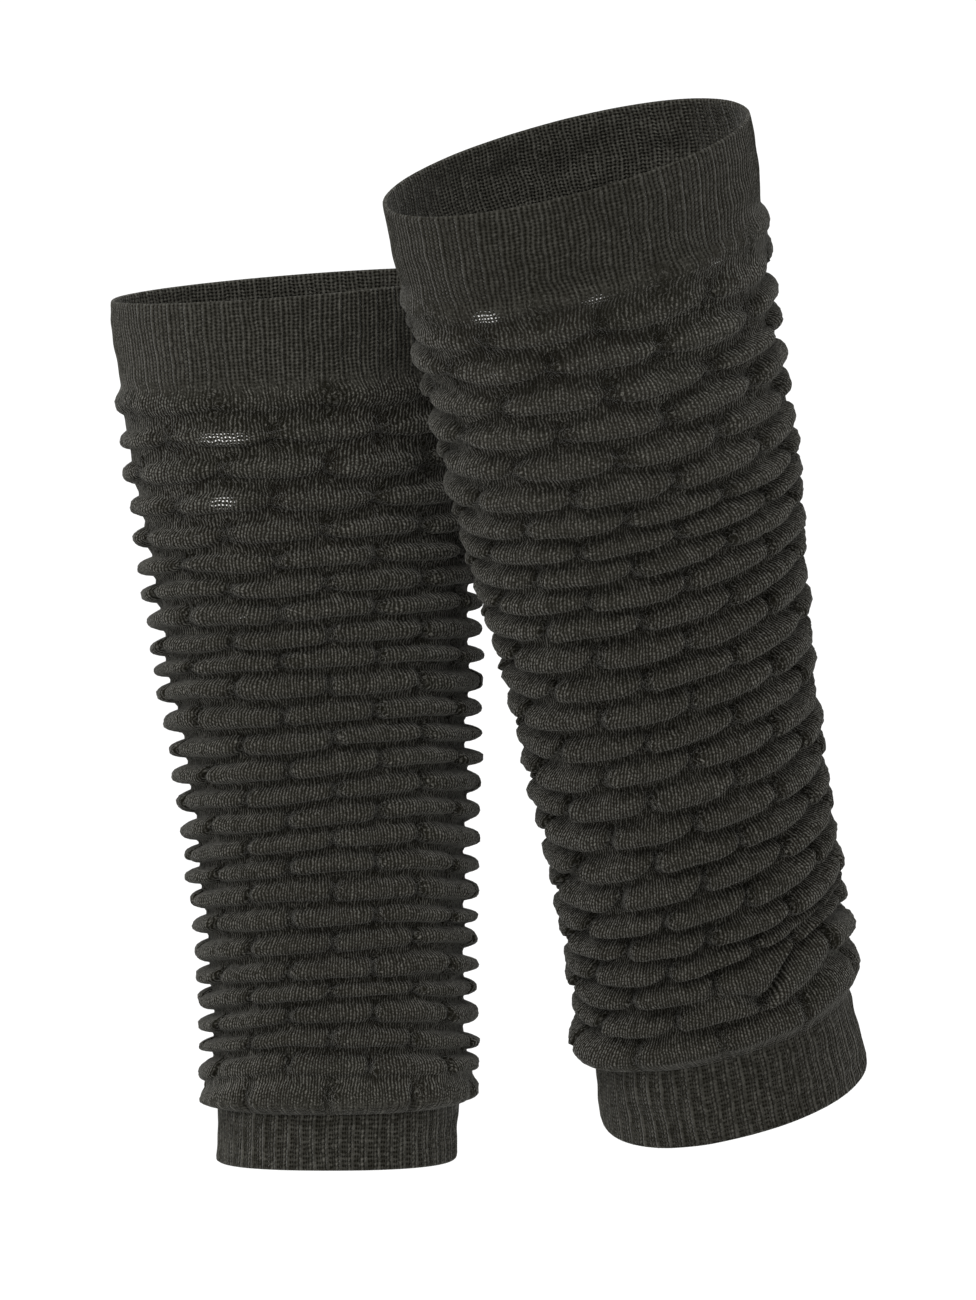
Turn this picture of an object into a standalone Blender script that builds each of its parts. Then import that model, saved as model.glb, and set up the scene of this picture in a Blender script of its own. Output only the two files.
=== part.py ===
"""A pair of knitted leg warmers, worn: two hollow tapering tubes in their worn pose.

Each leg warmer is three knitted pieces in one line: a ribbed cuff below the knee, a body whose
cloth stands out in 27 ring-shaped folds, and a ribbed cuff above the ankle. The folds are broken
into nine short puffs a turn, and each row of puffs is half a puff on from the row above, like
bricks. "left" and "right" are as seen from the front (looking along +Y).

Units are millimetres here and metres in the scene. +Z is up, +X is to the right and +Y is back.
The origin is the point midway between the two top cuffs' mouths, where the wearer's legs hold
the pair.
"""

import math

import bmesh
import bpy

# ---------------------------------------------------------------- driving sizes (mm)
MM = 0.001
CUFF_WALL = 2.0  # rib cuff
BODY_WALL = 2.2  # folded body, measured across the leg; 1.6 mm through a fold's sloping side
SEAM_GAP = 0.3  # between a cuff and the body
DEPTH_SHARE = 0.72  # front-to-back size of the oval section, as a share of its width
PUFFS = 9  # puffs in one turn of a fold
BODY_COLUMNS = 2 * PUFFS  # one column on each puff's middle and one in each notch
CUFF_COLUMNS = 24
NECK = 1.6  # short plain stretch of body next to each cuff
NOTCH_SHARE = 0.55  # how far a fold still stands out in the notch between two puffs

# Sections of each leg warmer, from its mouth down.
# along: distance down the leg. x, y, z: the section's middle. lean: the section's tilt, its
# right side up. tip: its tilt towards the front. turn: its turn about the leg, right side back.
# half_width: half of the oval's width over the folds' crests. square: 2 is an ellipse, more is
# a fuller oval. puff_turn: where a notch lies, as a share of one turn from the oval's right end.
SECTION_COLUMNS = ("along", "x", "y", "z", "lean", "tip", "turn", "half_width", "square", "puff_turn")
LEFT_SECTIONS = (
    (0.0, -50.1, 42.5, -26.8, 4.2, -0.1, 8.0, 68.2, 2.05, 0.704),
    (50.0, -47.3, 42.3, -76.6, 3.5, -0.4, 7.0, 68.2, 2.05, 0.704),
    (95.0, -44.2, 41.8, -121.6, 3.2, -0.8, 5.0, 65.4, 2.1, 0.704),
    (140.0, -41.2, 41.0, -166.4, 2.9, -1.2, 3.0, 61.8, 2.1, 0.702),
    (185.0, -37.8, 39.9, -211.4, 2.6, -1.7, 1.0, 58.4, 2.1, 0.699),
    (230.0, -35.8, 38.3, -256.3, 2.2, -2.2, -1.0, 55.3, 2.15, 0.696),
    (275.0, -34.4, 36.4, -301.3, 1.6, -2.7, -3.0, 53.4, 2.2, 0.692),
    (302.0, -34.1, 35.1, -328.2, 1.2, -3.0, -4.0, 53.2, 2.25, 0.690),
    (327.6, -34.8, 33.7, -353.7, 0.6, -3.5, -4.0, 48.0, 2.35, 0.690),
)
RIGHT_SECTIONS = (
    (0.0, 50.1, -42.5, 26.8, 11.8, 11.6, 22.0, 69.5, 2.05, 0.715),
    (46.3, 58.2, -32.9, -17.8, 10.8, 12.6, 20.0, 69.4, 2.05, 0.714),
    (92.8, 66.6, -22.5, -62.3, 11.0, 13.8, 18.0, 67.3, 2.05, 0.712),
    (140.2, 75.5, -10.9, -107.5, 12.0, 15.0, 16.0, 64.2, 2.05, 0.710),
    (188.6, 83.7, 1.8, -153.4, 13.2, 16.0, 14.0, 60.6, 2.1, 0.702),
    (237.9, 91.4, 15.7, -200.1, 14.0, 17.0, 12.0, 57.8, 2.1, 0.686),
    (288.6, 100.4, 30.7, -247.7, 14.6, 18.0, 11.0, 56.4, 2.15, 0.678),
    (340.3, 107.8, 46.9, -296.2, 13.4, 19.0, 10.0, 56.0, 2.2, 0.674),
    (378.5, 113.8, 59.5, -331.8, 12.4, 20.2, 10.0, 51.5, 2.2, 0.674),
)

# Folds of each body, from the top: where each ends in a valley, and how far it stands out.
FOLD_COLUMNS = ("end", "rise")
LEFT_FOLDS = (
    (42.8, 2.2), (53.6, 2.8), (67.2, 3.6), (79.3, 4.0), (90.6, 4.2), (100.8, 4.4),
    (110.6, 4.6), (120.5, 4.8), (130.0, 4.8), (138.4, 4.6), (148.8, 5.0), (159.0, 5.4),
    (168.4, 5.4), (178.8, 5.2), (188.3, 5.0), (197.6, 4.8), (206.8, 5.0), (215.8, 4.8),
    (226.0, 4.6), (235.0, 4.8), (245.3, 4.8), (255.0, 4.4), (262.8, 4.4), (272.2, 4.6),
    (281.4, 4.4), (291.5, 4.2), (305.2, 5.2),
)
RIGHT_FOLDS = (
    (42.5, 2.2), (53.2, 2.8), (66.5, 3.6), (79.5, 4.2), (93.3, 4.2), (104.5, 4.4),
    (117.0, 4.4), (126.0, 4.4), (136.8, 4.4), (146.4, 4.4), (157.0, 4.4), (168.0, 4.6),
    (180.0, 4.8), (191.3, 4.8), (203.3, 4.8), (215.3, 4.8), (227.3, 4.8), (239.8, 5.0),
    (252.0, 5.0), (264.8, 5.2), (276.5, 5.2), (287.7, 5.0), (299.5, 5.4), (308.0, 5.2),
    (320.3, 5.6), (330.5, 5.2), (344.6, 5.6),
)

# Cuffs: where each starts and ends down the leg, and its half widths there.
CUFF_SIZES = {
    "left_top_cuff": ((0.0, 68.0), (16.0, 67.4), (31.5, 66.2)),
    "left_bottom_cuff": ((306.8, 45.4), (317.0, 44.8), (327.6, 45.1)),
    "right_top_cuff": ((0.0, 69.5), (16.0, 69.3), (32.0, 67.6)),
    "right_bottom_cuff": ((346.2, 49.0), (361.0, 50.2), (378.5, 51.6)),
}
KNIT_COLOUR = (0.030, 0.029, 0.024, 1.0)  # charcoal green-grey yarn
KNIT_ROUGHNESS = 0.95


# ---------------------------------------------------------------- curves through the sections
def smooth(xs, ys, x):
    """A cubic through the points, with each point's slope taken from its neighbours."""
    last = len(xs) - 1
    x = min(max(x, xs[0]), xs[last])
    i = max(k for k in range(last) if xs[k] <= x or k == 0)

    def slope(k):
        a, b = max(k - 1, 0), min(k + 1, last)
        return (ys[b] - ys[a]) / (xs[b] - xs[a])

    span = xs[i + 1] - xs[i]
    t = (x - xs[i]) / span
    return (
        (2 * t**3 - 3 * t**2 + 1) * ys[i]
        + (t**3 - 2 * t**2 + t) * span * slope(i)
        + (-2 * t**3 + 3 * t**2) * ys[i + 1]
        + (t**3 - t**2) * span * slope(i + 1)
    )


def section_at(sections, along):
    """Every column of the section table at this distance down the leg."""
    xs = [row[0] for row in sections]
    return {
        name: smooth(xs, [row[k] for row in sections], along)
        for k, name in enumerate(SECTION_COLUMNS)
    }


def oval_angles(count, square, first):
    """Angles that share the oval's outline into equal lengths, from a share `first` of a turn."""
    steps = 720

    def place(t):
        c, s = math.cos(t), math.sin(t)
        power = 2 / square
        return (
            math.copysign(abs(c) ** power, c),
            DEPTH_SHARE * math.copysign(abs(s) ** power, s),
        )

    lengths = [0.0]
    for k in range(steps):
        (x0, y0), (x1, y1) = place(math.tau * k / steps), place(math.tau * (k + 1) / steps)
        lengths.append(lengths[-1] + math.hypot(x1 - x0, y1 - y0))
    angles = []
    for j in range(count):
        want = ((first + j / count) % 1.0) * lengths[-1]
        k = next(k for k in range(steps) if lengths[k + 1] >= want)
        part = (want - lengths[k]) / (lengths[k + 1] - lengths[k])
        angles.append(math.tau * (k + part) / steps)
    return angles


def ring(sections, along, half_width, columns, lift=lambda j: 0.0):
    """Points of one oval ring of the cloth's outer face. lift moves column j out."""
    at = section_at(sections, along)
    up = [-math.tan(math.radians(at["lean"])), -math.tan(math.radians(at["tip"])), 1.0]
    size = math.sqrt(sum(c * c for c in up))
    up = [c / size for c in up]
    side = [1 - up[0] * up[0], -up[0] * up[1], -up[0] * up[2]]
    size = math.sqrt(sum(c * c for c in side))
    side = [c / size for c in side]
    back = [
        up[1] * side[2] - up[2] * side[1],
        up[2] * side[0] - up[0] * side[2],
        up[0] * side[1] - up[1] * side[0],
    ]
    turn = math.radians(at["turn"])
    wide = [math.cos(turn) * s + math.sin(turn) * b for s, b in zip(side, back)]
    deep = [-math.sin(turn) * s + math.cos(turn) * b for s, b in zip(side, back)]
    power = 2 / at["square"]
    points = []
    for j, angle in enumerate(oval_angles(columns, at["square"], at["puff_turn"])):
        c, s = math.cos(angle), math.sin(angle)
        out_x = (half_width + lift(j)) * math.copysign(abs(c) ** power, c)
        out_y = (half_width * DEPTH_SHARE + lift(j)) * math.copysign(abs(s) ** power, s)
        points.append(
            tuple(
                MM * (at[axis] + out_x * w + out_y * d)
                for axis, w, d in zip(("x", "y", "z"), wide, deep)
            )
        )
    return points


# ---------------------------------------------------------------- solids
def knit_material(name):
    material = bpy.data.materials.new(name)
    material.use_nodes = True
    shader = material.node_tree.nodes["Principled BSDF"]
    shader.inputs["Base Color"].default_value = KNIT_COLOUR
    shader.inputs["Roughness"].default_value = KNIT_ROUGHNESS
    shader.inputs["Metallic"].default_value = 0.0
    material.diffuse_color = KNIT_COLOUR
    return material


def tube(name, rings, wall, collection):
    """An open tube lofted through rings of equally many points, made solid inwards."""
    bm = bmesh.new()
    rows = [[bm.verts.new(point) for point in points] for points in rings]
    for upper, lower in zip(rows[:-1], rows[1:]):
        count = len(upper)
        for j in range(count):
            k = (j + 1) % count
            bm.faces.new((upper[j], lower[j], lower[k], upper[k]))
    mesh = bpy.data.meshes.new(name)
    bm.to_mesh(mesh)
    bm.free()
    mesh.shade_smooth()
    obj = bpy.data.objects.new(name, mesh)
    obj.data.materials.append(knit_material(name + "_knit"))
    solid = obj.modifiers.new("Wall", "SOLIDIFY")
    solid.thickness = wall * MM
    solid.offset = -1.0
    solid.use_even_offset = False
    solid.use_rim = True
    collection.objects.link(obj)
    return obj


def cuff(name, sections, collection):
    rings = [
        ring(sections, along, half_width, CUFF_COLUMNS)
        for along, half_width in CUFF_SIZES[name]
    ]
    return tube(name, rings, CUFF_WALL, collection)


def body(name, sections, folds, top_cuff, bottom_cuff, collection):
    """The folded body, from its neck under the top cuff to its neck over the bottom cuff."""
    start_along, start_half = CUFF_SIZES[top_cuff][-1]
    end_along, end_half = CUFF_SIZES[bottom_cuff][0]
    start_along += SEAM_GAP
    end_along -= SEAM_GAP

    def crest(along):
        return section_at(sections, along)["half_width"]

    rings = [
        ring(sections, start_along, start_half, BODY_COLUMNS),
        ring(sections, start_along + NECK, start_half + 0.1, BODY_COLUMNS),
    ]
    above = start_along + NECK
    for number, (end, rise) in enumerate(folds):
        middle = (above + end) / 2

        def puff(j, number=number, rise=rise):
            in_notch = (j + number + 1) % 2 == 0
            return -rise * (1 - NOTCH_SHARE) if in_notch else 0.0

        rings.append(ring(sections, middle, crest(middle), BODY_COLUMNS, puff))
        last = number == len(folds) - 1
        if not last:
            under = (rise + folds[number + 1][1]) / 2
            rings.append(ring(sections, end, crest(end) - under, BODY_COLUMNS))
        above = end
    rings.append(ring(sections, end_along - NECK, end_half + 0.2, BODY_COLUMNS))
    rings.append(ring(sections, end_along, end_half, BODY_COLUMNS))
    return tube(name, rings, BODY_WALL, collection)


def main():
    for obj in list(bpy.data.objects):
        bpy.data.objects.remove(obj, do_unlink=True)
    pair = bpy.data.collections.new("pair_of_leg_warmers")
    bpy.context.scene.collection.children.link(pair)
    for side, sections, folds in (
        ("left", LEFT_SECTIONS, LEFT_FOLDS),
        ("right", RIGHT_SECTIONS, RIGHT_FOLDS),
    ):
        cuff(side + "_top_cuff", sections, pair)
        body(side + "_body", sections, folds, side + "_top_cuff", side + "_bottom_cuff", pair)
        cuff(side + "_bottom_cuff", sections, pair)
    bpy.context.view_layer.update()


main()
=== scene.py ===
import math

import bpy
import numpy as np
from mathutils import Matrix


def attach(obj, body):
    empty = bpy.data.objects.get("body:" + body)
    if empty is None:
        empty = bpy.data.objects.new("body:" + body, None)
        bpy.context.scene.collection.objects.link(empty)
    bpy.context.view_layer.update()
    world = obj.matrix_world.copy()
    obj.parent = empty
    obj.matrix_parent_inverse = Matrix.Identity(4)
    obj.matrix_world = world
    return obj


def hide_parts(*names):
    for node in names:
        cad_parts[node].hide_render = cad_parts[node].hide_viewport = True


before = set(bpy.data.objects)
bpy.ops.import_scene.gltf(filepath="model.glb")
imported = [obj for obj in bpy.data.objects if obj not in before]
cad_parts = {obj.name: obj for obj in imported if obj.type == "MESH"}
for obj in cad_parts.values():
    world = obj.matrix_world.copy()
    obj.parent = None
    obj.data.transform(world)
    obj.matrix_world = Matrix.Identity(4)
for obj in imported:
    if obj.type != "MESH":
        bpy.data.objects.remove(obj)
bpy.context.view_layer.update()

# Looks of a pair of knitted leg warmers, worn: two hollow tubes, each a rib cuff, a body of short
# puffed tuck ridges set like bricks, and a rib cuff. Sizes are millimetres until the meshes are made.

SEED = 8426
MM = 0.001

# ---------------------------------------------------------------- the frame's own sizes, repeated
DEPTH_SHARE = 0.72
PUFFS = 9
SEAM_GAP = 0.03
COLUMNS = ("along", "x", "y", "z", "lean", "tip", "turn", "half_width", "square", "puff_turn")
LEFT_SECTIONS = (
    (0.0, -50.1, 42.5, -26.8, 4.2, -0.1, 8.0, 68.2, 2.05, 0.704),
    (50.0, -47.3, 42.3, -76.6, 3.5, -0.4, 7.0, 68.2, 2.05, 0.704),
    (95.0, -44.2, 41.8, -121.6, 3.2, -0.8, 5.0, 65.4, 2.1, 0.704),
    (140.0, -41.2, 41.0, -166.4, 2.9, -1.2, 3.0, 61.8, 2.1, 0.702),
    (185.0, -37.5, 39.9, -211.4, 2.6, -1.7, 1.0, 57.6, 2.1, 0.699),
    (230.0, -35.5, 38.3, -256.3, 2.2, -2.2, -1.0, 54.4, 2.15, 0.696),
    (275.0, -34.2, 36.4, -301.3, 1.6, -2.7, -3.0, 52.4, 2.2, 0.692),
    (302.0, -34.0, 35.1, -328.2, 1.2, -3.0, -4.0, 52.8, 2.25, 0.690),
    (327.6, -34.8, 33.7, -353.7, 0.6, -3.5, -4.0, 48.0, 2.35, 0.690),
)
RIGHT_SECTIONS = (
    (0.0, 50.1, -42.5, 26.8, 11.8, 11.6, 22.0, 69.5, 2.05, 0.715),
    (46.3, 58.2, -32.9, -17.8, 10.8, 12.6, 20.0, 69.4, 2.05, 0.714),
    (92.8, 66.6, -22.5, -62.3, 11.0, 13.8, 18.0, 67.3, 2.05, 0.712),
    (140.2, 75.5, -10.9, -107.5, 12.0, 15.0, 16.0, 64.2, 2.05, 0.710),
    (188.6, 83.9, 1.8, -153.4, 13.2, 16.0, 14.0, 59.2, 2.1, 0.702),
    (237.9, 91.7, 15.7, -200.1, 14.0, 17.0, 12.0, 56.3, 2.1, 0.686),
    (288.6, 100.7, 30.7, -247.7, 14.6, 18.0, 11.0, 55.0, 2.15, 0.678),
    (340.3, 108.6, 46.9, -296.2, 13.4, 19.0, 10.0, 55.0, 2.2, 0.674),
    (378.5, 115.0, 59.5, -331.8, 12.4, 20.2, 10.0, 51.5, 2.2, 0.674),
)
CUFF_SIZES = {
    "left_top_cuff": ((0.0, 68.0), (16.0, 67.4), (31.5, 66.2)),
    "left_bottom_cuff": ((306.8, 45.4), (317.0, 44.8), (327.6, 45.1)),
    "right_top_cuff": ((0.0, 69.5), (16.0, 69.3), (32.0, 67.6)),
    "right_bottom_cuff": ((346.2, 49.0), (361.0, 50.2), (378.5, 51.6)),
}

# ---------------------------------------------------------------- the folds
# A row for each fold down the leg: where its lower valley lies at the middle of the front, how far
# the fold stands out, how much lower than that the valley lies at four places round the front, how
# much higher a puff's right end lies than its left one, the share of the fold by which its lower
# edge lifts at the right end, and how much of the fold is left at the front's right side.
FOLD_COLUMNS = (
    "end", "rise", "left", "mid_left", "mid_right", "right", "tilt", "lift", "right_share"
)
LEFT_FOLDS = (
    (44.8, 2.4, 0.0, -0.4, 1.0, 0.6, 0.0, 0.05, 1.0),
    (56.2, 2.8, 0.3, -0.2, 1.6, 0.4, 0.0, 0.08, 1.0),
    (69.7, 3.6, 0.6, -1.3, 1.7, 1.6, 0.1, 0.10, 1.0),
    (81.5, 4.2, 0.2, -0.6, 0.9, 2.2, 0.2, 0.12, 1.0),
    (92.5, 4.6, 1.0, 0.5, -0.1, 1.6, 0.2, 0.12, 1.0),
    (102.1, 4.8, 0.0, 1.5, 0.3, 0.9, 0.2, 0.14, 1.0),
    (112.2, 5.0, -0.9, -0.2, 0.7, 0.9, 0.3, 0.16, 1.0),
    (121.9, 5.2, 1.3, 0.4, -0.1, 0.9, 0.3, 0.16, 1.0),
    (130.9, 5.2, 1.9, 0.6, 0.3, 2.2, 0.3, 0.16, 1.0),
    (140.0, 5.0, 0.7, -0.6, -0.2, 1.0, 0.3, 0.14, 1.0),
    (150.2, 5.4, -0.1, 1.2, 0.8, 1.6, 0.3, 0.16, 1.0),
    (160.4, 5.8, 2.2, 1.3, -0.1, 1.1, 0.3, 0.16, 1.0),
    (169.5, 5.8, 3.1, 2.4, -0.8, 1.2, 0.3, 0.18, 1.0),
    (180.0, 5.6, 2.7, 1.5, -1.8, -0.8, 0.3, 0.18, 1.0),
    (188.9, 5.4, 3.0, 2.4, -1.0, 0.7, 0.3, 0.16, 1.0),
    (198.3, 5.2, 3.7, 2.6, -1.0, -0.7, 0.3, 0.16, 1.0),
    (207.2, 5.4, 3.7, 2.5, 0.2, 1.9, 0.3, 0.16, 1.0),
    (216.2, 5.2, 3.3, 2.6, 0.6, 2.6, 0.3, 0.16, 1.0),
    (227.1, 5.0, 2.3, 1.2, 0.1, 2.7, 0.3, 0.18, 1.0),
    (236.2, 5.2, 3.4, 2.3, -0.2, 1.9, 0.3, 0.18, 1.0),
    (246.4, 5.2, 4.1, 1.4, -1.3, -0.3, 0.4, 0.20, 1.0),
    (255.9, 4.8, 2.9, 1.6, 0.3, 1.3, 0.4, 0.20, 1.0),
    (263.5, 4.8, 4.3, 2.1, -0.9, 1.2, 0.4, 0.20, 1.0),
    (272.3, 5.0, 4.4, 1.8, 1.9, 3.0, 0.5, 0.22, 1.0),
    (282.1, 4.8, 2.1, -0.1, 0.8, 2.8, 0.5, 0.22, 1.0),
    (293.0, 4.8, 1.9, -0.8, -0.4, 1.3, 0.5, 0.20, 1.0),
    (305.4, 6.0, 0.8, 0.3, 0.0, 0.8, 0.0, 0.0, 1.0),
)
RIGHT_FOLDS = (
    (43.7, 2.2, 0.0, -0.8, -0.3, 1.4, 0.0, 0.04, 1.0),
    (55.6, 2.8, -1.7, -1.2, 1.3, 1.9, 0.2, 0.08, 1.0),
    (69.3, 3.6, -2.2, -2.0, 2.3, 2.6, 0.3, 0.12, 1.0),
    (82.4, 4.2, -3.4, -1.2, -1.1, -0.3, 0.3, 0.16, 1.0),
    (95.2, 4.4, -3.9, -3.0, -0.6, 1.0, 0.3, 0.16, 1.0),
    (106.4, 4.6, -2.3, -0.6, 1.2, 0.6, 0.4, 0.18, 1.0),
    (118.9, 4.6, -3.3, -2.3, 0.3, 0.6, 0.4, 0.20, 1.0),
    (127.8, 4.6, -2.2, -1.6, -0.4, 1.6, 0.5, 0.22, 1.0),
    (137.1, 4.6, -1.8, -1.1, 0.9, 0.9, 0.5, 0.24, 1.0),
    (147.5, 4.6, -2.4, -1.4, 0.0, 0.8, 0.6, 0.26, 1.0),
    (158.7, 4.8, -3.0, -2.9, -0.2, -0.2, 0.6, 0.26, 1.0),
    (169.9, 5.0, -2.7, -2.9, -0.3, -1.4, 0.7, 0.30, 1.0),
    (181.4, 5.2, -1.7, -1.4, 0.6, 0.8, 0.8, 0.32, 1.0),
    (192.8, 5.2, -0.9, -1.0, 0.5, 0.2, 0.8, 0.32, 1.0),
    (205.4, 5.2, -1.6, -1.1, -0.4, 0.7, 0.9, 0.34, 1.0),
    (216.7, 5.2, 0.7, -0.5, 0.4, 1.4, 1.0, 0.36, 1.0),
    (228.3, 5.2, 0.8, 0.3, 1.1, 1.7, 1.0, 0.38, 1.0),
    (242.0, 5.4, -0.7, -0.2, -0.9, -1.0, 1.1, 0.40, 1.0),
    (253.8, 5.4, 0.5, -1.0, -0.4, -0.2, 1.2, 0.40, 1.0),
    (265.1, 5.6, 3.0, 1.2, 0.4, -1.0, 1.3, 0.42, 1.0),
    (277.9, 5.6, 2.4, 1.2, -2.7, -3.2, 1.5, 0.42, 1.0),
    (289.1, 5.4, 0.6, 0.0, 0.2, -1.8, 1.4, 0.36, 1.0),
    (300.0, 5.8, -1.2, 0.5, 0.4, 0.7, 1.2, 0.36, 1.0),
    (307.9, 5.2, 2.2, 2.2, -2.2, -4.0, 0.6, 0.20, 0.15),
    (321.2, 6.0, 0.0, 0.3, -10.6, -14.0, 0.6, 0.20, 0.7),
    (331.2, 6.2, 0.1, 0.2, -1.6, -7.4, 0.8, 0.26, 1.0),
    (345.4, 5.6, 0.0, 0.0, 0.0, 0.0, 0.6, 0.0, 1.0),
)
# How much lower than at the front's middle each valley lies at the tube's two sides and its back,
# a row for each fold: the left leg's folds hang lower behind, the right leg's run level.
SIDE_COLUMNS = ("edge_left", "edge_right", "back")
LEFT_SIDES = (
    (2.0, 0.8, 4.0), (3.0, 1.1, 6.3), (2.4, 2.0, 7.3), (2.2, 3.3, 8.3), (2.8, 3.6, 9.1),
    (3.8, 4.2, 10.0), (4.4, 4.2, 10.6), (5.0, 4.1, 11.0), (5.0, 5.0, 11.4), (3.6, 4.4, 10.8),
    (3.7, 5.6, 11.0), (4.9, 5.3, 11.6), (5.2, 4.6, 11.4), (4.5, 2.7, 10.6), (7.1, 4.3, 12.0),
    (8.1, 4.9, 12.6), (7.5, 6.3, 12.9), (6.7, 7.0, 12.7), (5.2, 6.7, 12.0), (5.2, 4.7, 11.2),
    (6.2, 4.4, 10.8), (4.8, 3.2, 9.8), (7.4, 4.2, 9.6), (7.9, 7.2, 9.0), (5.5, 5.2, 7.2),
    (6.5, 3.2, 4.8), (0.0, 0.0, 0.0),
)
RIGHT_SIDES = (
    (-1.2, -0.4, 0.4), (-3.3, -0.4, -1.3), (-3.8, 0.1, -0.3), (-3.5, -1.0, -1.6), (-4.3, -0.6, -0.9),
    (-3.4, -0.1, -0.4), (-3.4, -0.3, -1.6), (-2.5, 0.6, -0.1), (-1.8, 0.4, -1.2), (-2.3, 0.0, -0.2),
    (-3.0, -1.0, -0.4), (-3.0, -1.5, -1.9), (-1.9, -0.2, 0.0), (-2.0, -1.1, -1.6), (-2.4, -1.6, -0.5),
    (-1.2, -1.1, 0.1), (-0.8, -0.8, -0.9), (-2.3, -2.5, -1.1), (-1.4, -2.0, -1.7), (0.0, -1.7, 0.0),
    (-0.5, -2.9, -0.1), (-1.6, -3.0, -2.0), (-2.0, 0.5, -0.2), (0.8, -3.6, -1.9), (-1.4, -6.0, -1.4),
    (-0.3, -4.4, -0.9), (0.0, 0.0, 0.0),
)
# Extra places where one valley of the right leg leaves its row: two folds run together into a big
# puff, and the valley between them climbs past the end of it.
SWIRL_COLUMNS = ("fold", "place", "lower")
RIGHT_SWIRL = ((24, 0.79, 6.0), (24, 0.825, -7.4))
# Where a valley is filled by two folds that run together.
MERGE_COLUMNS = ("fold", "place", "width", "depth")
LEFT_MERGE = ()
RIGHT_MERGE = ((24, 0.735, 0.040, 0.22),)
FRONT_PLACES = (0.60, 0.66, 0.75, 0.84, 0.90)   # left, mid_left, middle, mid_right, right
BACK_SHARE = 0.5       # the hidden side's rows wander by this share of the front's
GAP_ABOVE = 0.10       # flat valley left above and below a fold, as shares of the fold
GAP_BELOW = 0.14
WIDE_GAP = 0.07        # more of it in the first rows, fading out further down
SAG = 0.45            # the crest hangs down by this much
LEAST_GAP = 0.7

# One fold from its upper edge (0) to its lower one (1): how far it stands out at each place.
FOLD_PROFILE = (
    (0.00, 0.00), (0.04, 0.20), (0.11, 0.50), (0.22, 0.79), (0.36, 0.95),
    (0.53, 1.00), (0.69, 0.95), (0.82, 0.78), (0.92, 0.49), (1.00, 0.05),
)
CREST = 5              # the profile's highest row
NOTCH_DEPTH = 0.76     # share of the rise lost in the notch between two puffs
END_RIGHT = (0.19, 0.045)   # length of a puff's ends as shares of it, in the first rows and lower down
END_LEFT = (0.36, 0.150)
PINCH = 0.15           # how far a puff narrows at its ends, as a share of the row
NOTCH_PULL = 0.40      # how far the stitches beside it are drawn towards it
FIRST_BOW = 1.5        # how far they bow round a first-row knot on its right, in wales

# ---------------------------------------------------------------- the knit
WALES = 216            # stitch columns in one turn, 24 to a puff
FINE_WALES = 270       # and on the folds, where both needle beds knit
REPEAT = 4             # one rib in four stands out more
CUFF_COURSE = 1.35     # height of one row of stitches
LOW_COURSE = 1.76      # drawn longer in the narrow bottom cuffs
BODY_COURSE = 1.40
CUFF_THICK = 1.3       # knit seen at the rims
BODY_THICK = 1.3
RIB_RISE = 0.20
STRONG_RIB_RISE = 0.15
BODY_COLUMNS = 288     # mesh columns round the body, 32 to a puff
INNER_SHARE = 3        # the body's inner face has a third of them
CUFF_COLUMNS = 864     # four to a wale
SEAM_FOLD = 0.36       # the cloth looks like this share of a fold where a top cuff meets the body
FIRST_FOLD = 0.70      # and like this share of one on the first fold's crest
LOW_RIB_FADE = 4.5     # the ribs fade over this much of the body next to a bottom cuff

# Painted light between the stitches: where the knit is drawn thin and light shows through on
# the left leg, and painted glints on the right leg:
# distance down the leg, place round the front (0 left end, 1 right end), height, width, strength.
PAINTED_SEE_THROUGH_COLUMNS = ("along", "round", "height", "width", "strength")
LEFT_PAINTED_SEE_THROUGH = (
    (50.5, 0.315, 2.4, 9.2, 1.0),
    (61.3, 0.300, 1.2, 2.8, 1.0),
    (74.3, 0.307, 2.4, 5.0, 1.0),
    (87.0, 0.245, 1.8, 5.0, 0.30),
    (117.4, 0.335, 1.8, 5.0, 0.40),
    (135.0, 0.300, 1.6, 5.0, 0.20),
)
RIGHT_PAINTED_SEE_THROUGH = (
    (38.4, 0.230, 3.2, 6.5, 1.0),
    (38.8, 0.425, 2.6, 7.0, 0.72),
    (40.0, 0.670, 1.8, 4.5, 0.72),
    (59.5, 0.215, 1.8, 5.0, 0.35),
)


# ---------------------------------------------------------------- curves
def smooth(xs, ys, x):
    """A cubic through the points with slopes taken from the neighbours, for an array of x."""
    xs, ys = np.asarray(xs, float), np.asarray(ys, float)
    last = len(xs) - 1
    x = np.clip(x, xs[0], xs[-1])
    i = np.clip(np.searchsorted(xs, x, side="right") - 1, 0, last - 1)
    before, after = np.maximum(np.arange(last + 1) - 1, 0), np.minimum(np.arange(last + 1) + 1, last)
    slopes = (ys[after] - ys[before]) / (xs[after] - xs[before])
    span = xs[i + 1] - xs[i]
    t = (x - xs[i]) / span
    return (
        (2 * t**3 - 3 * t**2 + 1) * ys[i]
        + (t**3 - 2 * t**2 + t) * span * slopes[i]
        + (-2 * t**3 + 3 * t**2) * ys[i + 1]
        + (t**3 - t**2) * span * slopes[i + 1]
    )


def step(x):
    """0 below 0, 1 above 1, and smooth between."""
    x = np.clip(x, 0, 1)
    return x * x * (3 - 2 * x)


def bell(x, width):
    return np.exp(-((x / width) ** 2))


def column(table, names, name, x):
    k = names.index(name)
    return smooth([row[0] for row in table], [row[k] for row in table], x)


def unit(v):
    return v / np.linalg.norm(v, axis=-1, keepdims=True)


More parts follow.
